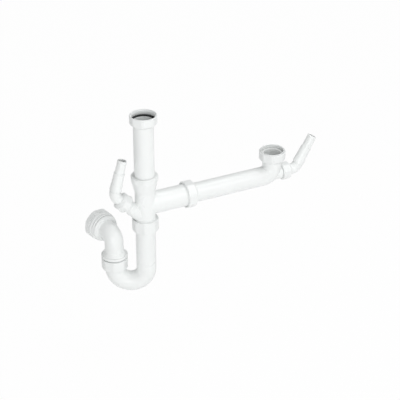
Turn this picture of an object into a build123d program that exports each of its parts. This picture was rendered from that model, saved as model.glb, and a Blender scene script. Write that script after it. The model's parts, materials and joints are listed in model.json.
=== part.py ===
from build123d import *
import os
from math import cos, radians, sin, tan

# Waste trap for a sink with two bowls, in white moulded plastic with rubber seals.
# The origin is the centre of the main inlet's seat, where the bowl's waste lands on its washer.
# +Z is up, +X runs along the arm to the second bowl and +Y points back to the wall.
# All sizes are in millimetres.

# Tubes
tube_od = 40.0  # tailpiece, tee and U-bend
tube_wall = 2.2
arm_od = 39.2  # pipe to the second bowl
arm_wall = 2.2
riser_od = 38.0  # outlet elbow
riser_wall = 2.2
waste_pipe_od = 40.0  # wall pipe that the outlet takes

# Where the runs lie, from the branch's axis
branch_drop = 184.0  # main inlet's seat down to the branch's axis
arm_reach = 284.5  # main inlet's axis to the second bowl's axis
arm_bend = 21.0  # radius of the arm's knee along its centre line
second_rise = 48.0  # up to the second inlet's seat
cup_rise = 65.0  # up to the rim of the tailpiece's socket
foot_drop = 46.0  # down to the tee's threaded end
stub_drop = 31.0  # down to where the nozzle stub's axis meets the tee's
leg_spacing = 63.4  # between the legs of the U-bend
trap_swing = 27.0  # degrees that the short leg is turned back from the line of the arm
bend_drop = 144.0  # down to the centre of the U-bend's curve
short_leg_drop = 130.0  # down to the seat on the U-bend's short leg
outlet_drop = 68.0  # down to the outlet's axis
outlet_swing = 11.0  # degrees that the outlet is turned from square to the arm
outlet_bend = 20.0  # radius of the outlet elbow's centre line

# Threads, as core and outside diameters
inlet_thread_od = 47.8  # inch and a half pipe thread
inlet_thread_core = 44.85
union_thread_od = 45.2
union_thread_core = 42.3
nozzle_thread_od = 26.44  # three quarter inch pipe thread
nozzle_thread_core = 24.12
thread_gap = 0.1  # radial room between a nut's bore and the thread in it

# Clearances
turn_gap = 0.4  # radius, between a nut's hole and the tube through it
slide_gap = 0.35  # radius, between a pipe and its socket or ring
flange_gap = 0.6  # radius, between a flange and the nut around it
seat_gap = 0.1  # radius, between a seal and the groove around it
ring_gap = 0.15  # between a slip ring and the floor of its nut

# Nuts
nut_sides = 8
nut_facing = 18.3  # degrees that the flats are turned about the nut's axis
nut_edge = 1.5  # rounding of the upright edges
nut_rim = 2.4  # height of the round rim at the mouth
nut_rim_proud = 1.3  # rim beyond the flats
nut_break = 1.1  # chamfer at the mouth and along the rim
nut_relief = 0.4  # radius, undercut around the flange of an inlet nut
inlet_nut_wall = 1.6
inlet_nut_height = 21.0
union_nut_wall = 2.4
union_nut_taper = 3.0
trap_inlet_nut_height = 27.0
trap_outlet_nut_height = 25.0
trap_outlet_nut_lip = 7.5  # deeper floor of the nut on the short leg
nut_lip = 3.5  # floor of a nut, which pulls on the flange
nut_taper = 4.5  # height of the taper at the closed end
nut_taper_land = 1.0  # flat ring left around the hole
branch_nut_wall = 2.0
branch_nut_height = 22.0
outlet_nut_wall = 5.6
outlet_nut_height = 29.5
outlet_nut_rim = 7.0  # height of each band of its rim
outlet_nut_bands = 2
outlet_nut_step = 1.2  # radius that each band loses towards the mouth
nozzle_nut_wall = 3.6
nozzle_nut_height = 20.5

# Flanges and flat washers
flange_height = 4.5
second_flange_height = 8.5  # deeper collar at the second inlet
washer_height = 3.0
main_washer_width = 3.0  # radial, black ring at the main inlet
nozzle_flange_height = 3.0
nozzle_washer_height = 2.5

# Socket of the tailpiece at the top of the tee
cup_wall = 2.2
cup_straight = 8.0
cup_taper = 28.0
cup_lip = 3.0
cup_recess = 0.5
seal_height = 5.6
seal_depth = 3.0  # radius that the tailpiece's seal fills
tailpiece_grip = 11.0  # length of close socket below the seal
pipe_break = 1.2  # chamfer at the end of a pipe

# Branch of the tee and the arm in it
branch_reach = 96.0  # main axis to the end of the branch
branch_root = 26.0  # length over which the branch widens
branch_root_od = 38.4
branch_floor = 28.0  # main axis to the bottom of the arm's socket
branch_blend = 5.0
arm_insert = 36.0  # length of the arm inside the branch
foot_thread = 17.0  # threaded length at the foot of the tee

# Compression joints
mouth_cone = 5.0  # depth of the cone that the seal is pressed into
mouth_wall = 0.9  # wall left at the end of that cone
cone_seal_head = 4.5
cone_seal_nose = 3.8
slip_ring_height = 2.5

# Outlet socket, as distances from the riser's axis
outlet_shoulder = 26.0
outlet_shoulder_height = 5.0
outlet_shoulder_od = 54.0
outlet_shoulder_round = 2.5
outlet_socket_floor = 31.0
outlet_socket_end = 51.0

# Collar at the foot of the outlet elbow
collar_thread = 8.0
collar_neck = 4.0
collar_height = 6.0
collar_od = 53.0
collar_step = 2.6  # radius, from the collar in to the foot of its flare
collar_flare = 8.0

# Hose nozzles
stub_slope = 45.0  # degrees that the tee's stub points up
stub_bore = 17.0
tee_stub_length = 68.5  # main axis to the end of the tee's stub
arm_stub_length = 31.8  # second bowl's axis to the end of the arm's stub
arm_stub_rise = 1.5  # arm's axis up to that stub's axis
arm_stub_root = 19.6  # second bowl's axis to where the arm's stub narrows
stub_root_od = 28.4
stub_root = 38.0  # main axis to where the tee's stub narrows
stub_root_taper = 8.0
nozzle_od = 22.0
nozzle_bore = 14.0
nozzle_angle = 60.0  # degrees that the nozzle bends
nozzle_bend = 16.0  # radius of the bend's centre line
nozzle_corner = 21.0  # flange's face to the corner of the centre line
nozzle_neck = 13.0  # corner to the start of the hose tail

# Hose tail, in three steps from the bend to its tip
hose_root_od = 24.0
hose_root_length = 12.0
hose_middle_od = 22.2
hose_middle_length = 24.0
hose_tip_od = 18.6
hose_tip_length = 26.5
hose_draft = 0.5  # radius that the two wider steps lose towards the tip
hose_waist_width = 3.0  # groove between the bend and the tail
hose_waist_depth = 0.9
hose_lip = 4.5  # band at the very tip
hose_groove_width = 1.6
hose_groove_depth = 0.6

# Radii and heights worked out from the sizes above
tube_r = tube_od / 2
tube_in_r = tube_r - tube_wall
arm_r = arm_od / 2
arm_in_r = arm_r - arm_wall
riser_r = riser_od / 2
riser_in_r = riser_r - riser_wall
branch_z = -branch_drop
inlet_core_r = inlet_thread_core / 2
inlet_bore_r = inlet_thread_od / 2 + thread_gap
union_core_r = union_thread_core / 2
union_bore_r = union_thread_od / 2 + thread_gap
nozzle_core_r = nozzle_thread_core / 2
nozzle_bore_r = nozzle_thread_od / 2 + thread_gap
outlet_way = Vector(-sin(radians(outlet_swing)), cos(radians(outlet_swing)), 0)
stub_way = Vector(-cos(radians(stub_slope)), 0, sin(radians(stub_slope)))
short_leg_way = Vector(-cos(radians(trap_swing)), sin(radians(trap_swing)), 0)
stub_side = Vector(sin(radians(stub_slope)), 0, cos(radians(stub_slope)))

# Planes on which the pieces stand, each with its Z along the piece's axis
main_seat = Plane.XY
tee_centre = Plane((0, 0, branch_z))
branch_axis = Plane((0, 0, branch_z), x_dir=(0, 1, 0), z_dir=(1, 0, 0))
second_axis = Plane((arm_reach, 0, branch_z))
arm_stub_axis = Plane((arm_reach, 0, branch_z + arm_stub_rise), x_dir=(0, 0, 1), z_dir=(1, 0, 0))
tee_stub_axis = Plane((0, 0, branch_z - stub_drop), x_dir=stub_side, z_dir=stub_way)
tee_foot = tee_centre.offset(-foot_drop)
short_leg = short_leg_way * leg_spacing
short_leg_seat = Plane(short_leg + Vector(0, 0, branch_z - short_leg_drop))
outlet_axis = Plane(short_leg + Vector(0, 0, branch_z - outlet_drop), x_dir=(0, 0, 1), z_dir=outlet_way)


# Turns an outline of (radius, height) points about a plane's Z axis.
def turn(axis_plane, points, mode=Mode.ADD):
    section = Plane(axis_plane.origin, x_dir=axis_plane.x_dir, z_dir=-axis_plane.y_dir)
    with BuildSketch(section) as outline:
        with BuildLine():
            Polyline(*points, close=True)
        make_face()
    revolve(outline.sketch, axis=Axis(axis_plane.origin, axis_plane.z_dir), mode=mode)


# A ring between two radii and two heights.
def turn_ring(axis_plane, inner_r, outer_r, low, high, mode=Mode.ADD):
    turn(axis_plane, [(inner_r, low), (outer_r, low), (outer_r, high), (inner_r, high)], mode)


# A plain round bar, or a bore when it is cut.
def turn_bar(axis_plane, radius, low, high, mode=Mode.ADD):
    turn_ring(axis_plane, 0, radius, low, high, mode)


# A flat washer on its plane.
def flat_ring(seat, inner_r, outer_r, height):
    with BuildPart() as ring:
        turn_ring(seat, inner_r, outer_r, 0, height)
    return ring


# A plane with the same origin whose Z points the other way.
def flipped(plane):
    return Plane(plane.origin, x_dir=plane.x_dir, z_dir=-plane.z_dir)


# A nut with eight flats, a round rim at its mouth and a tapered closed end.
# It stands on the outside of its closed end, with its mouth at the top.
def faceted_nut(
    seat, bore_r, hole_r, wall, height, taper=nut_taper, relief=0, rim=nut_rim, bands=1, step=0, lip=nut_lip
):
    flat_r = bore_r + wall
    rim_r = flat_r + nut_rim_proud
    land_r = min(hole_r + nut_taper_land, flat_r)
    flats_top = height - bands * rim if step > 0 else height - nut_break
    body_outline = [(0, 0), (land_r, 0), (rim_r, taper), (rim_r, height), (0, height)]
    rim_outline = [(bore_r, height - bands * rim)]
    for band in range(bands):
        band_low = height - (bands - band) * rim
        band_r = rim_r - step * (band + 1)
        rim_outline += [
            (band_r - nut_break, band_low),
            (band_r, band_low + nut_break),
            (band_r, band_low + rim - nut_break),
        ]
    rim_outline += [
        (band_r - nut_break, height),
        (bore_r + nut_break, height),
        (bore_r, height - nut_break),
    ]
    with BuildPart() as nut:
        with BuildSketch(seat) as flats:
            RegularPolygon(flat_r, nut_sides, major_radius=False, rotation=nut_facing)
            fillet(flats.vertices(), nut_edge)
        extrude(amount=flats_top)
        turn(seat, body_outline, Mode.INTERSECT)
        turn_bar(seat, hole_r, 0, lip, Mode.SUBTRACT)
        turn_bar(seat, bore_r, lip, height, Mode.SUBTRACT)
        if relief > 0:
            turn_bar(seat, bore_r + nut_relief, lip, lip + relief, Mode.SUBTRACT)
        turn(seat, rim_outline)
    return nut


# A cone seal for a compression joint. Its plane is the end of the socket, with Z pointing out.
def cone_seal(mouth, pipe_r, socket_r, core_r, bore_r):
    inner_r = pipe_r + slide_gap
    slope = (core_r - mouth_wall - socket_r) / mouth_cone
    nose_r = core_r - mouth_wall - slope * cone_seal_nose - seat_gap
    with BuildPart() as seal:
        turn(
            mouth,
            [
                (inner_r, -cone_seal_nose),
                (max(nose_r, inner_r + seat_gap), -cone_seal_nose),
                (core_r - mouth_wall - seat_gap, 0),
                (bore_r - flange_gap, 0),
                (bore_r - flange_gap, cone_seal_head),
                (inner_r, cone_seal_head),
            ],
        )
    return seal


# The socket's bore with the cone at its mouth.
def cut_socket(axis_plane, socket_r, core_r, floor, end):
    turn(
        axis_plane,
        [
            (0, floor),
            (socket_r, floor),
            (socket_r, end - mouth_cone),
            (core_r - mouth_wall, end),
            (0, end),
        ],
        Mode.SUBTRACT,
    )


# A bent hose nozzle. Its plane is the face of the flange, with Z along the stub and X the way it bends.
def hose_nozzle(seat):
    angle = radians(nozzle_angle)
    leave = seat.z_dir
    tail_way = seat.z_dir * cos(angle) + seat.x_dir * sin(angle)
    corner = seat.origin + leave * nozzle_corner
    reach = nozzle_bend * tan(angle / 2)
    bend_start = corner - leave * reach
    bend_end = corner + tail_way * reach
    tail_start = corner + tail_way * nozzle_neck
    tail = Plane(tail_start, x_dir=seat.y_dir, z_dir=tail_way)
    nozzle_r = nozzle_od / 2
    bore_r = nozzle_bore / 2
    root_r = hose_root_od / 2
    middle_r = hose_middle_od / 2
    tip_r = hose_tip_od / 2
    groove_r = tip_r - hose_groove_depth
    root_end = hose_root_length
    middle_end = root_end + hose_middle_length
    tip = middle_end + hose_tip_length
    outline = [
        (bore_r, 0),
        (root_r, 0),
        (root_r - hose_draft, root_end),
        (middle_r, root_end),
        (middle_r - hose_draft, middle_end),
        (tip_r, middle_end),
        (tip_r, tip - hose_lip - hose_groove_width),
        (groove_r, tip - hose_lip - hose_groove_width),
        (groove_r, tip - hose_lip),
        (tip_r, tip - hose_lip),
        (tip_r, tip - nut_break),
        (tip_r - nut_break, tip),
        (bore_r, tip),
    ]
    with BuildPart() as nozzle:
        turn_ring(seat, bore_r, nozzle_bore_r - flange_gap, 0, nozzle_flange_height)
        with BuildLine() as path:
            Line(seat.origin, bend_start)
            TangentArc(bend_start, bend_end, tangent=leave)
            Line(bend_end, tail_start)
        with BuildSketch(seat) as section:
            Circle(nozzle_r)
            Circle(bore_r, mode=Mode.SUBTRACT)
        sweep(section.sketch, path=path.wire())
        turn_ring(tail, nozzle_r - hose_waist_depth, nozzle_r, -hose_waist_width, 0, Mode.SUBTRACT)
        turn(tail, outline)
    return nozzle


# Tailpiece: flanged at the top, plain at the bottom, pushed into the tee
tailpiece_foot = branch_z + cup_rise - cup_recess - seal_height - tailpiece_grip + slide_gap
with BuildPart() as tailpiece_tube:
    turn(
        main_seat,
        [
            (tube_in_r, -washer_height),
            (inlet_bore_r - flange_gap, -washer_height),
            (inlet_bore_r - flange_gap, -washer_height - flange_height),
            (tube_r, -washer_height - flange_height),
            (tube_r, tailpiece_foot + pipe_break),
            (tube_r - pipe_break, tailpiece_foot),
            (tube_in_r, tailpiece_foot),
        ],
    )

main_washer_r = inlet_bore_r - flange_gap
main_inlet_washer = flat_ring(
    main_seat.offset(-washer_height),
    main_washer_r - main_washer_width,
    main_washer_r,
    washer_height,
)
inlet_nut_floor = washer_height + flange_height + nut_lip  # seat down to the nut's closed end
main_inlet_nut = faceted_nut(
    main_seat.offset(-inlet_nut_floor),
    inlet_bore_r,
    tube_r + turn_gap,
    inlet_nut_wall,
    inlet_nut_height,
    relief=flange_height + washer_height,
)

# Tee: faceted socket at the top, threaded foot, branch for the arm and a sloping nozzle stub
cup_bore_r = tube_r + seal_depth + slide_gap
cup_r = cup_bore_r + cup_wall
cup_foot = cup_rise - cup_straight - cup_taper
socket_floor = cup_rise - cup_recess - seal_height - tailpiece_grip
with BuildPart() as tee_body:
    with BuildSketch(tee_centre.offset(cup_foot)) as cup_flats:
        RegularPolygon(cup_r, nut_sides, major_radius=False, rotation=nut_facing)
        fillet(cup_flats.vertices(), nut_edge)
    extrude(amount=cup_rise - cup_foot - nut_break)
    turn(
        tee_centre,
        [
            (0, cup_foot),
            (tube_r, cup_foot),
            (cup_r + nut_rim_proud, cup_rise - cup_straight),
            (cup_r + nut_rim_proud, cup_rise),
            (0, cup_rise),
        ],
        Mode.INTERSECT,
    )
    turn(
        tee_centre,
        [
            (0, cup_rise - cup_lip),
            (cup_r + nut_rim_proud, cup_rise - cup_lip),
            (cup_r + nut_rim_proud, cup_rise - nut_break),
            (cup_r + nut_rim_proud - nut_break, cup_rise),
            (0, cup_rise),
        ],
    )
    turn(
        tee_centre,
        [
            (0, -foot_drop),
            (union_core_r - nut_break, -foot_drop),
            (union_core_r, -foot_drop + nut_break),
            (union_core_r, -foot_drop + foot_thread),
            (tube_r, -foot_drop + foot_thread + union_core_r - tube_r),
            (tube_r, cup_foot),
            (0, cup_foot),
        ],
    )
    turn(
        branch_axis,
        [
            (0, 0),
            (branch_root_od / 2, 0),
            (inlet_core_r, branch_root),
            (inlet_core_r, branch_reach),
            (0, branch_reach),
        ],
    )
    fillet(tee_body.edges(Select.NEW), branch_blend)
    turn(
        tee_stub_axis,
        [
            (0, tube_in_r / 2),
            (stub_root_od / 2, tube_in_r / 2),
            (stub_root_od / 2, stub_root),
            (nozzle_core_r, stub_root + stub_root_taper),
            (nozzle_core_r, tee_stub_length),
            (0, tee_stub_length),
        ],
    )
    turn_bar(tee_centre, tube_in_r, -foot_drop, cup_rise, Mode.SUBTRACT)
    turn_bar(tee_centre, tube_r + slide_gap, socket_floor, cup_rise, Mode.SUBTRACT)
    turn_bar(tee_centre, cup_bore_r, cup_rise - cup_recess - seal_height, cup_rise, Mode.SUBTRACT)
    turn_bar(branch_axis, arm_in_r, 0, branch_floor, Mode.SUBTRACT)
    cut_socket(branch_axis, arm_r + slide_gap, inlet_core_r, branch_floor, branch_reach)
    turn_bar(tee_stub_axis, stub_bore / 2, 0, tee_stub_length, Mode.SUBTRACT)

tailpiece_seal = flat_ring(
    tee_centre.offset(cup_rise - cup_recess - seal_height),
    tube_r + slide_gap,
    cup_bore_r - seat_gap,
    seal_height,
)

# Arm to the second bowl: pipe, bent knee, flanged upright inlet and nozzle stub in one moulding
arm_start = branch_reach - arm_insert
second_flange_top = second_rise - washer_height
second_flange_low = second_flange_top - second_flange_height
knee_run = arm_reach - arm_bend
knee_start = branch_axis.offset(knee_run)
with BuildPart() as bowl_arm:
    turn(
        branch_axis,
        [
            (0, arm_start),
            (arm_r - pipe_break, arm_start),
            (arm_r, arm_start + pipe_break),
            (arm_r, knee_run),
            (0, knee_run),
        ],
    )
    with BuildLine() as knee_path:
        TangentArc(knee_start.origin, second_axis.offset(arm_bend).origin, tangent=knee_start.z_dir)
    with BuildSketch(knee_start) as knee_outside:
        Circle(arm_r)
    sweep(knee_outside.sketch, path=knee_path.wire())
    turn_bar(second_axis, arm_r, arm_bend, second_flange_top)
    turn_bar(arm_stub_axis, stub_root_od / 2, 0, arm_stub_root)
    turn_bar(arm_stub_axis, nozzle_core_r, 0, arm_stub_length)
    turn_ring(
        second_axis, arm_in_r, inlet_bore_r - flange_gap, second_flange_low, second_flange_top
    )
    turn_bar(branch_axis, arm_in_r, arm_start, knee_run, Mode.SUBTRACT)
    with BuildSketch(knee_start) as knee_inside:
        Circle(arm_in_r)
    sweep(knee_inside.sketch, path=knee_path.wire(), mode=Mode.SUBTRACT)
    turn_bar(second_axis, arm_in_r, arm_bend, second_flange_top, Mode.SUBTRACT)
    turn_bar(arm_stub_axis, stub_bore / 2, 0, arm_stub_length, Mode.SUBTRACT)

second_inlet_washer = flat_ring(
    second_axis.offset(second_flange_top), arm_in_r, inlet_bore_r - flange_gap, washer_height
)
second_inlet_nut = faceted_nut(
    second_axis.offset(second_flange_low - nut_lip),
    inlet_bore_r,
    arm_r + turn_gap,
    inlet_nut_wall,
    inlet_nut_height,
    relief=second_flange_height + washer_height,
)

# Compression joint of the branch
branch_mouth = branch_axis.offset(branch_reach)
branch_seal = cone_seal(branch_mouth, arm_r, arm_r + slide_gap, inlet_core_r, inlet_bore_r)
branch_slip_ring = flat_ring(
    branch_mouth.offset(cone_seal_head), arm_r + slide_gap, inlet_bore_r - flange_gap, slip_ring_height
)
# Socket's end to the nut's closed end
joint_stack = cone_seal_head + slip_ring_height + ring_gap + nut_lip
branch_nut = faceted_nut(
    flipped(branch_mouth.offset(joint_stack)),
    inlet_bore_r,
    arm_r + turn_gap,
    branch_nut_wall,
    branch_nut_height,
)

# U-bend: flanged at both ends, with the water seal between its legs
union_flange_r = union_bore_r - flange_gap
long_leg_top = Vector(0, 0, tee_foot.origin.Z - washer_height)
short_leg_top = short_leg_seat.origin - Vector(0, 0, washer_height)
bend_z = branch_z - bend_drop
with BuildPart() as u_bend:
    with BuildLine() as bend_path:
        Line(long_leg_top, (0, 0, bend_z))
        TangentArc((0, 0, bend_z), short_leg + Vector(0, 0, bend_z), tangent=(0, 0, -1))
        Line(short_leg + Vector(0, 0, bend_z), short_leg_top)
    with BuildSketch(Plane(long_leg_top)):
        Circle(tube_r)
        Circle(tube_in_r, mode=Mode.SUBTRACT)
    sweep()
    turn_ring(Plane(long_leg_top), tube_in_r, union_flange_r, -flange_height, 0)
    turn_ring(Plane(short_leg_top), tube_in_r, union_flange_r, -flange_height, 0)

trap_inlet_washer = flat_ring(Plane(long_leg_top), tube_in_r, union_flange_r, washer_height)
trap_outlet_washer = flat_ring(Plane(short_leg_top), tube_in_r, union_flange_r, washer_height)
# Each nut stands on its closed end, below the leg's flange
trap_inlet_nut = faceted_nut(
    Plane(long_leg_top).offset(-flange_height - nut_lip),
    union_bore_r,
    tube_r + turn_gap,
    union_nut_wall,
    trap_inlet_nut_height,
    union_nut_taper,
)
trap_outlet_nut = faceted_nut(
    Plane(short_leg_top).offset(-flange_height - trap_outlet_nut_lip),
    union_bore_r,
    tube_r + turn_gap,
    union_nut_wall,
    trap_outlet_nut_height,
    union_nut_taper,
    lip=trap_outlet_nut_lip,
)

# Outlet elbow: threaded foot under a flared collar, riser, bend and threaded pipe socket
collar_low = collar_thread + collar_neck
collar_top = collar_low + collar_height
riser_foot = collar_top + collar_flare
riser_start = short_leg_seat.origin + Vector(0, 0, riser_foot)
riser_corner = outlet_axis.origin
riser_bend_start = riser_corner - Vector(0, 0, outlet_bend)
riser_bend_end = riser_corner + outlet_way * outlet_bend
outlet_socket_r = waste_pipe_od / 2 + slide_gap
with BuildPart() as outlet_elbow:
    turn(
        short_leg_seat,
        [
            (riser_in_r, 0),
            (union_core_r - nut_break, 0),
            (union_core_r, nut_break),
            (union_core_r, collar_low),
            (collar_od / 2 - nut_break, collar_low),
            (collar_od / 2, collar_low + nut_break),
            (collar_od / 2, collar_top - nut_break),
            (collar_od / 2 - nut_break, collar_top),
            (collar_od / 2 - collar_step, collar_top),
            (riser_r, riser_foot),
            (riser_in_r, riser_foot),
        ],
    )
    with BuildLine() as riser_path:
        Line(riser_start, riser_bend_start)
        TangentArc(riser_bend_start, riser_bend_end, tangent=(0, 0, 1))
    with BuildSketch(Plane(riser_start)):
        Circle(riser_r)
        Circle(riser_in_r, mode=Mode.SUBTRACT)
    sweep()
    turn(
        outlet_axis,
        [
            (riser_in_r, outlet_bend),
            (riser_r, outlet_bend),
            (riser_r, outlet_shoulder),
            (outlet_shoulder_od / 2 - outlet_shoulder_round, outlet_shoulder),
            (outlet_shoulder_od / 2, outlet_shoulder + outlet_shoulder_round),
            (outlet_shoulder_od / 2, outlet_shoulder + outlet_shoulder_height),
            (inlet_core_r, outlet_shoulder + outlet_shoulder_height),
            (inlet_core_r, outlet_socket_end),
            (riser_in_r, outlet_socket_end),
        ],
    )
    cut_socket(outlet_axis, outlet_socket_r, inlet_core_r, outlet_socket_floor, outlet_socket_end)

# Compression joint of the outlet
outlet_mouth = outlet_axis.offset(outlet_socket_end)
outlet_seal = cone_seal(outlet_mouth, waste_pipe_od / 2, outlet_socket_r, inlet_core_r, inlet_bore_r)
outlet_slip_ring = flat_ring(
    outlet_mouth.offset(cone_seal_head), outlet_socket_r, inlet_bore_r - flange_gap, slip_ring_height
)
outlet_nut = faceted_nut(
    flipped(outlet_mouth.offset(joint_stack)),
    inlet_bore_r,
    outlet_socket_r + slide_gap,
    outlet_nut_wall,
    outlet_nut_height,
    rim=outlet_nut_rim,
    bands=outlet_nut_bands,
    step=outlet_nut_step,
)

# Hose nozzles of the tee and of the arm, each with its washer and nut
tee_stub_end = tee_stub_axis.offset(tee_stub_length)
arm_stub_end = arm_stub_axis.offset(arm_stub_length)
nozzle_nut_floor = nozzle_flange_height + nut_lip  # flange's face to the nut's closed end


def nozzle_washer(stub_end):
    return flat_ring(stub_end, stub_bore / 2, nozzle_bore_r - flange_gap, nozzle_washer_height)


def nozzle_nut(stub_end):
    return faceted_nut(
        flipped(stub_end.offset(nozzle_washer_height + nozzle_nut_floor)),
        nozzle_bore_r,
        nozzle_od / 2 + turn_gap,
        nozzle_nut_wall,
        nozzle_nut_height,
    )


tee_nozzle_washer = nozzle_washer(tee_stub_end)
tee_nozzle = hose_nozzle(tee_stub_end.offset(nozzle_washer_height))
tee_nozzle_nut = nozzle_nut(tee_stub_end)
arm_nozzle_washer = nozzle_washer(arm_stub_end)
arm_nozzle = hose_nozzle(arm_stub_end.offset(nozzle_washer_height))
arm_nozzle_nut = nozzle_nut(arm_stub_end)

# One file for each piece
pieces = {
    "tailpiece_tube": tailpiece_tube,
    "main_inlet_washer": main_inlet_washer,
    "main_inlet_nut": main_inlet_nut,
    "tee_body": tee_body,
    "tailpiece_seal": tailpiece_seal,
    "bowl_arm": bowl_arm,
    "second_inlet_washer": second_inlet_washer,
    "second_inlet_nut": second_inlet_nut,
    "branch_seal": branch_seal,
    "branch_slip_ring": branch_slip_ring,
    "branch_nut": branch_nut,
    "u_bend": u_bend,
    "trap_inlet_washer": trap_inlet_washer,
    "trap_inlet_nut": trap_inlet_nut,
    "trap_outlet_washer": trap_outlet_washer,
    "trap_outlet_nut": trap_outlet_nut,
    "outlet_elbow": outlet_elbow,
    "outlet_seal": outlet_seal,
    "outlet_slip_ring": outlet_slip_ring,
    "outlet_nut": outlet_nut,
    "tee_nozzle": tee_nozzle,
    "tee_nozzle_washer": tee_nozzle_washer,
    "tee_nozzle_nut": tee_nozzle_nut,
    "arm_nozzle": arm_nozzle,
    "arm_nozzle_washer": arm_nozzle_washer,
    "arm_nozzle_nut": arm_nozzle_nut,
}
os.makedirs("parts", exist_ok=True)
for label, piece in pieces.items():
    piece.part.label = label
    export_step(piece.part, f"parts/{label}.step")
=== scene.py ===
import bpy
import json
import math
from mathutils import Matrix, Vector


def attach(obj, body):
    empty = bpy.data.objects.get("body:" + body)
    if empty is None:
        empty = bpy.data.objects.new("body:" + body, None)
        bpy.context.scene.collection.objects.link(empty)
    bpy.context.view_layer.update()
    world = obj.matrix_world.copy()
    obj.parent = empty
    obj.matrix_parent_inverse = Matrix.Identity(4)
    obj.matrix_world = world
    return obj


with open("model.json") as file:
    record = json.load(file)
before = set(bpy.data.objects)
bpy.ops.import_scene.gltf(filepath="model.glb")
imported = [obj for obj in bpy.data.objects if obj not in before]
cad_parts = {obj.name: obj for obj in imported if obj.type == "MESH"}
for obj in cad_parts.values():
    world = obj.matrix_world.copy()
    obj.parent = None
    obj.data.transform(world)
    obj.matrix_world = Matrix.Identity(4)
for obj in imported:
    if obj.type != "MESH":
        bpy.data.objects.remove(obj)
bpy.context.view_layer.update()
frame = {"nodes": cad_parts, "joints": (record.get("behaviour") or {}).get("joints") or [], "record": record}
nodes = frame["nodes"]
print("frame loaded:", len(nodes), "nodes")

mm = 0.001


# Shader group shared by the finishes
def newGroup(name, inputs, outputs):
    group = bpy.data.node_groups.new(name, "ShaderNodeTree")
    for label, kind in inputs:
        group.interface.new_socket(label, in_out="INPUT", socket_type=kind)
    for label, kind in outputs:
        group.interface.new_socket(label, in_out="OUTPUT", socket_type=kind)
    return group, group.nodes.new("NodeGroupInput"), group.nodes.new("NodeGroupOutput")


def mapRange(group, low, high):
    node = group.nodes.new("ShaderNodeMapRange")
    node.inputs["From Min"].default_value = low
    node.inputs["From Max"].default_value = high
    return node


skinNoise = {
    "grainDetail": 3.0, "cloudDetail": 4.0, "cloudWarp": 0.8, "glossFrom": 0.32, "glossTo": 0.68,
}
mixPale, mixDeep, mixOut = 6, 7, 2  # colour sockets of a mix node


def mouldSkinGroup():
    # moulded skin: fine orange peel, faint flow marks and slow changes of gloss
    group, start, end = newGroup(
        "mouldSkin",
        [
            ("Vector", "NodeSocketVector"),
            ("Grain Scale", "NodeSocketFloat"),
            ("Cloud Scale", "NodeSocketFloat"),
            ("Rough Low", "NodeSocketFloat"),
            ("Rough High", "NodeSocketFloat"),
            ("Pale", "NodeSocketColor"),
            ("Deep", "NodeSocketColor"),
        ],
        [("Color", "NodeSocketColor"), ("Roughness", "NodeSocketFloat"), ("Height", "NodeSocketFloat")],
    )
    link = group.links.new
    grain = group.nodes.new("ShaderNodeTexNoise")
    grain.inputs["Detail"].default_value = skinNoise["grainDetail"]
    link(start.outputs["Vector"], grain.inputs["Vector"])
    link(start.outputs["Grain Scale"], grain.inputs["Scale"])
    cloud = group.nodes.new("ShaderNodeTexNoise")
    cloud.inputs["Detail"].default_value = skinNoise["cloudDetail"]
    cloud.inputs["Distortion"].default_value = skinNoise["cloudWarp"]
    link(start.outputs["Vector"], cloud.inputs["Vector"])
    link(start.outputs["Cloud Scale"], cloud.inputs["Scale"])
    gloss = mapRange(group, skinNoise["glossFrom"], skinNoise["glossTo"])
    link(cloud.outputs["Fac"], gloss.inputs["Value"])
    link(start.outputs["Rough Low"], gloss.inputs["To Min"])
    link(start.outputs["Rough High"], gloss.inputs["To Max"])
    tint = group.nodes.new("ShaderNodeMix")
    tint.data_type = "RGBA"
    link(cloud.outputs["Fac"], tint.inputs["Factor"])
    link(start.outputs["Pale"], tint.inputs[mixPale])
    link(start.outputs["Deep"], tint.inputs[mixDeep])
    link(tint.outputs[mixOut], end.inputs["Color"])
    link(gloss.outputs["Result"], end.inputs["Roughness"])
    link(grain.outputs["Fac"], end.inputs["Height"])
    return group


mouldSkin = mouldSkinGroup()
skinValues = {
    "Grain Scale": "grainScale", "Cloud Scale": "cloudScale",
    "Rough Low": "roughLow", "Rough High": "roughHigh",
}
skinColours = {"Pale": "pale", "Deep": "deep"}


def mouldedFinish(name, look):
    material = bpy.data.materials.new(name)
    material.use_nodes = True
    tree = material.node_tree
    shader = tree.nodes["Principled BSDF"]
    place = tree.nodes.new("ShaderNodeTexCoord")
    skin = tree.nodes.new("ShaderNodeGroup")
    skin.node_tree = mouldSkin
    for label, key in skinValues.items():
        skin.inputs[label].default_value = look[key]
    for label, key in skinColours.items():
        skin.inputs[label].default_value = (*look[key], 1)
    bump = tree.nodes.new("ShaderNodeBump")
    bump.inputs["Strength"].default_value = look["bump"]
    bump.inputs["Distance"].default_value = look["bumpDepth"]
    tree.links.new(place.outputs["Object"], skin.inputs["Vector"])
    tree.links.new(skin.outputs["Color"], shader.inputs["Base Color"])
    tree.links.new(skin.outputs["Roughness"], shader.inputs["Roughness"])
    tree.links.new(skin.outputs["Height"], bump.inputs["Height"])
    tree.links.new(bump.outputs["Normal"], shader.inputs["Normal"])
    shader.inputs["IOR"].default_value = look["ior"]
    material.diffuse_color = (*look["pale"], 1)
    return material


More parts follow.
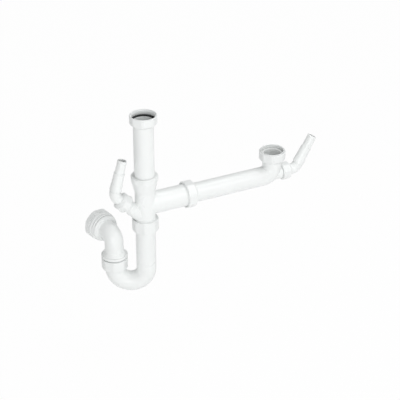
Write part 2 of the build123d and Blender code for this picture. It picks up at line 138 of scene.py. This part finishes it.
finishes = {
    "white_plastic": {
        "pale": (0.885, 0.9, 0.895), "deep": (0.855, 0.868, 0.864),
        "grainScale": 520.0, "cloudScale": 16.0,
        "roughLow": 0.27, "roughHigh": 0.38, "bump": 0.06, "bumpDepth": 0.0004, "ior": 1.49,
    },
    "nut_plastic": {
        "pale": (0.88, 0.893, 0.89), "deep": (0.845, 0.858, 0.855),
        "grainScale": 640.0, "cloudScale": 28.0,
        "roughLow": 0.29, "roughHigh": 0.4, "bump": 0.08, "bumpDepth": 0.0004, "ior": 1.49,
    },
    "black_rubber": {
        "pale": (0.022, 0.022, 0.024), "deep": (0.012, 0.012, 0.013),
        "grainScale": 1500.0, "cloudScale": 60.0,
        "roughLow": 0.55, "roughHigh": 0.75, "bump": 0.25, "bumpDepth": 0.0005, "ior": 1.52,
    },
    "pale_rubber": {
        "pale": (0.85, 0.86, 0.855), "deep": (0.8, 0.81, 0.805),
        "grainScale": 1300.0, "cloudScale": 60.0,
        "roughLow": 0.5, "roughHigh": 0.68, "bump": 0.2, "bumpDepth": 0.0005, "ior": 1.5,
    },
    "ring_plastic": {
        "pale": (0.82, 0.83, 0.84), "deep": (0.76, 0.77, 0.78),
        "grainScale": 800.0, "cloudScale": 40.0,
        "roughLow": 0.42, "roughHigh": 0.55, "bump": 0.1, "bumpDepth": 0.0004, "ior": 1.5,
    },
}
materials = {slot: mouldedFinish(slot + "Finish", look) for slot, look in finishes.items()}

slotOf = {part["node"]: part["material_slot"] for part in frame["record"]["subparts"]}
for nodeName, node in nodes.items():
    for place in node.material_slots:
        place.material = materials[slotOf[nodeName]]
print("finishes set on", len(slotOf), "nodes")


# Screw threads, each one ridge wound round the axis of the nut that runs on it
jointOf = {joint["name"]: joint for joint in frame["joints"]}
inletPitch, nozzlePitch = 2.309 * mm, 1.814 * mm
inletMale = {"rootR": 22.3 * mm, "crestR": 23.9 * mm, "pitch": inletPitch, "steps": 60}
inletFemale = {"rootR": 24.15 * mm, "crestR": 22.6 * mm, "pitch": inletPitch, "steps": 72}
unionMale = {"rootR": 21.05 * mm, "crestR": 22.6 * mm, "pitch": inletPitch, "steps": 60}
nozzleMale = {"rootR": 11.95 * mm, "crestR": 13.2 * mm, "pitch": nozzlePitch, "steps": 48}
ridgeShape = {"rootHalf": 0.36, "crestHalf": 0.12, "runOut": 0.3}  # shares of the pitch
leastCrest = 0.05  # share of the crest's height left at a thread's ends
smoothAngle = math.radians(35)
threads = {
    # start and end run along the axis of the joint, from its place
    "mainInletThread": {
        "form": inletFemale, "joint": "main_nut_spin", "start": 0.6 * mm, "end": 8.9 * mm,
        "body": "main_nut", "slot": "nut_plastic",
    },
    "secondInletThread": {
        "form": inletFemale, "joint": "second_nut_spin", "start": 0.4 * mm, "end": 8.9 * mm,
        "body": "second_nut", "slot": "nut_plastic",
    },
    "branchThread": {
        "form": inletMale, "joint": "branch_nut_turn", "start": -15.4 * mm, "end": -4.6 * mm,
        "body": "tee", "slot": "white_plastic",
    },
    "footThread": {
        "form": unionMale, "joint": "trap_inlet_nut_turn", "start": -16.8 * mm, "end": -0.6 * mm,
        "body": "tee", "slot": "white_plastic",
    },
    "teeStubThread": {
        "form": nozzleMale, "joint": "tee_nozzle_nut_turn", "start": -20.5 * mm, "end": -0.5 * mm,
        "body": "tee", "slot": "white_plastic",
    },
    "armStubThread": {
        "form": nozzleMale, "joint": "arm_nozzle_nut_turn", "start": -12.0 * mm, "end": -0.5 * mm,
        "body": "arm", "slot": "white_plastic",
    },
    "outletThread": {
        "form": inletMale, "joint": "outlet_nut_turn", "start": -18.8 * mm, "end": 0.4 * mm,
        "body": "outlet", "slot": "white_plastic",
    },
    "riserThread": {
        "form": unionMale, "joint": "trap_outlet_nut_turn", "start": -11.4 * mm, "end": -0.6 * mm,
        "body": "outlet", "slot": "white_plastic",
    },
}


def jointPlace(joint):
    zWay = Vector(joint["axis"]).normalized()
    turnTo = zWay.to_track_quat("Z", "Y").to_matrix().to_4x4()
    return Matrix.Translation(Vector(joint["pos_m"])) @ turnTo


def windThread(name, thread):
    form = thread["form"]
    rootR, crestR, pitch, steps = form["rootR"], form["crestR"], form["pitch"], form["steps"]
    rootHalf, crestHalf = pitch * ridgeShape["rootHalf"], pitch * ridgeShape["crestHalf"]
    bpy.ops.object.select_all(action="DESELECT")
    bpy.ops.mesh.primitive_plane_add(size=1, location=(0, 0, 0))
    ridge = bpy.context.object
    ridge.name = name
    section = [(rootR, -rootHalf), (crestR, -crestHalf), (crestR, crestHalf), (rootR, rootHalf)]
    aroundPlane = [0, 1, 3, 2]  # a fresh plane's corners in order round its edge
    for corner, (radius, height) in zip(aroundPlane, section):
        ridge.data.vertices[corner].co = (radius, 0, height)
    bpy.ops.object.mode_set(mode="EDIT")
    bpy.ops.mesh.select_all(action="SELECT")
    bpy.ops.mesh.delete(type="ONLY_FACE")
    bpy.ops.object.mode_set(mode="OBJECT")
    climb = thread["end"] - thread["start"] - 2 * rootHalf
    wind = ridge.modifiers.new("wind", "SCREW")
    wind.axis = "Z"
    wind.angle = climb / pitch * 2 * math.pi
    wind.screw_offset = climb
    wind.steps = wind.render_steps = round(climb / pitch * steps)
    wind.use_merge_vertices = False
    bpy.ops.object.modifier_apply(modifier="wind")
    fadeEnds(ridge, form, climb)
    bpy.ops.object.mode_set(mode="EDIT")
    bpy.ops.mesh.select_all(action="SELECT")
    bpy.ops.mesh.fill_holes(sides=0)
    bpy.ops.mesh.select_all(action="SELECT")
    bpy.ops.mesh.normals_make_consistent(inside=False)
    bpy.ops.object.mode_set(mode="OBJECT")
    lift = Matrix.Translation((0, 0, thread["start"] + rootHalf))
    ridge.matrix_world = jointPlace(jointOf[thread["joint"]]) @ lift
    bpy.ops.object.transform_apply(location=True, rotation=True, scale=True)
    bpy.ops.object.shade_smooth_by_angle(angle=smoothAngle)
    ridge.data.materials.append(materials[thread["slot"]])
    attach(ridge, thread["body"])


def fadeEnds(ridge, form, climb):
    # the crest sinks into the wall over the first and last part of a turn
    runOut = form["pitch"] * ridgeShape["runOut"]
    for v in ridge.data.vertices:
        radius = math.hypot(v.co.x, v.co.y)
        if abs(radius - form["crestR"]) > abs(radius - form["rootR"]):
            continue
        fromEnd = min(v.co.z, climb - v.co.z)
        keep = min(1.0, max(leastCrest, fromEnd / runOut))
        wanted = form["rootR"] + (form["crestR"] - form["rootR"]) * keep
        v.co.x *= wanted / radius
        v.co.y *= wanted / radius


for threadName, thread in threads.items():
    windThread(threadName, thread)
print("threads wound:", len(threads))


# Studio: pale floor, soft lights and the photograph's viewpoint
def paleStage(name, white):
    # a matt floor that the camera and reflections see as plain white
    material = bpy.data.materials.new(name)
    material.use_nodes = True
    tree = material.node_tree
    tree.nodes.clear()
    out = tree.nodes.new("ShaderNodeOutputMaterial")
    mix = tree.nodes.new("ShaderNodeMixShader")
    matt = tree.nodes.new("ShaderNodeBsdfDiffuse")
    matt.inputs["Color"].default_value = (*white["floor"], 1)
    glow = tree.nodes.new("ShaderNodeEmission")
    glow.inputs["Strength"].default_value = 1.0
    path = tree.nodes.new("ShaderNodeLightPath")
    seen = tree.nodes.new("ShaderNodeMath")
    seen.operation = "MAXIMUM"
    seenThrough = tree.nodes.new("ShaderNodeMath")
    seenThrough.operation = "MAXIMUM"
    share = tree.nodes.new("ShaderNodeMath")
    share.operation = "MULTIPLY"
    share.inputs[1].default_value = white["share"]
    link = tree.links.new
    link(path.outputs["Is Camera Ray"], seen.inputs[0])
    link(path.outputs["Is Glossy Ray"], seen.inputs[1])
    link(seen.outputs[0], seenThrough.inputs[0])
    link(path.outputs["Is Transmission Ray"], seenThrough.inputs[1])
    link(seenThrough.outputs[0], share.inputs[0])
    link(share.outputs[0], mix.inputs["Fac"])
    link(matt.outputs["BSDF"], mix.inputs[1])
    link(glow.outputs["Emission"], mix.inputs[2])
    link(mix.outputs["Shader"], out.inputs["Surface"])
    return material


floorLook = {"floor": (0.86, 0.86, 0.86), "share": 0.97, "height": -0.5, "size": 14.0}
bpy.ops.object.select_all(action="DESELECT")
bpy.ops.mesh.primitive_plane_add(size=floorLook["size"], location=(0, 0, floorLook["height"]))
floor = bpy.context.object
floor.name = "studioFloor"
floor.data.materials.append(paleStage("floorWhite", floorLook))

# the room is dimmer at the back on the outlet's side
skyLook = {"tint": (0.99, 1.0, 0.995), "bright": (0.64, -0.64, 0.43), "low": 0.34, "high": 0.67}
world = bpy.data.worlds.new("studioWorld")
world.use_nodes = True
bpy.context.scene.world = world
sky = world.node_tree
sky.nodes.clear()
skyOut = sky.nodes.new("ShaderNodeOutputWorld")
skyMix = sky.nodes.new("ShaderNodeMixShader")
skyLight = sky.nodes.new("ShaderNodeBackground")
skyLight.inputs["Color"].default_value = (*skyLook["tint"], 1)
skyPlace = sky.nodes.new("ShaderNodeTexCoord")
skyLean = sky.nodes.new("ShaderNodeVectorMath")
skyLean.operation = "DOT_PRODUCT"
skyLean.inputs[1].default_value = skyLook["bright"]
skyLevel = mapRange(sky, -1.0, 1.0)
skyLevel.inputs["To Min"].default_value = skyLook["low"]
skyLevel.inputs["To Max"].default_value = skyLook["high"]
sky.links.new(skyPlace.outputs["Generated"], skyLean.inputs[0])
sky.links.new(skyLean.outputs["Value"], skyLevel.inputs["Value"])
sky.links.new(skyLevel.outputs["Result"], skyLight.inputs["Strength"])
skyWhite = sky.nodes.new("ShaderNodeBackground")
skyWhite.inputs["Color"].default_value = (1, 1, 1, 1)
skyWhite.inputs["Strength"].default_value = 1.0
skyPath = sky.nodes.new("ShaderNodeLightPath")
sky.links.new(skyPath.outputs["Is Camera Ray"], skyMix.inputs["Fac"])
sky.links.new(skyLight.outputs["Background"], skyMix.inputs[1])
sky.links.new(skyWhite.outputs["Background"], skyMix.inputs[2])
sky.links.new(skyMix.outputs["Shader"], skyOut.inputs["Surface"])

lamps = {
    "keySoftbox": {"at": (0.9, -1.95, 1.5), "size": 1.1, "watts": 11.0},
    "fillSoftbox": {"at": (-1.1, -2.2, 0.2), "size": 1.6, "watts": 21.0},
    "topSoftbox": {"at": (0.9, 0.1, 1.8), "size": 1.1, "watts": 9.0},
}
aim = Vector((0.1, 0, -0.2))
for lampName, lamp in lamps.items():
    data = bpy.data.lights.new(lampName, "AREA")
    data.shape = "DISK"
    data.size = lamp["size"]
    data.energy = lamp["watts"]
    light = bpy.data.objects.new(lampName, data)
    light.location = lamp["at"]
    light.rotation_euler = (aim - Vector(lamp["at"])).to_track_quat("-Z", "Y").to_euler()
    bpy.context.scene.collection.objects.link(light)

# focal and imageWidth are in pixels of the photograph
shot = {
    "azimuth": -26.73, "elevation": 28.85, "focal": 1347.06, "imageWidth": 400, "sensor": 36.0,
    "across": 107.68 * mm, "above": 8.44 * mm, "away": 2641.3 * mm, "aimHeight": -184 * mm,
}
azimuth, elevation = math.radians(shot["azimuth"]), math.radians(shot["elevation"])
rightWay = Vector((math.cos(azimuth), math.sin(azimuth), 0))
upWay = Vector((
    -math.sin(azimuth) * math.sin(elevation),
    math.cos(azimuth) * math.sin(elevation),
    math.cos(elevation),
))
backWay = rightWay.cross(upWay)
eye = Vector((0, 0, shot["aimHeight"])) + rightWay * shot["across"]
eye += upWay * shot["above"] + backWay * shot["away"]
cameraData = bpy.data.cameras.new("photoCamera")
cameraData.sensor_width = shot["sensor"]
cameraData.lens = shot["focal"] / shot["imageWidth"] * shot["sensor"]
camera = bpy.data.objects.new("photoCamera", cameraData)
camera.matrix_world = Matrix.Translation(eye) @ Matrix((rightWay, upWay, backWay)).transposed().to_4x4()
bpy.context.scene.collection.objects.link(camera)
bpy.context.scene.camera = camera
bpy.context.scene.view_settings.view_transform = "Standard"
print("studio ready")
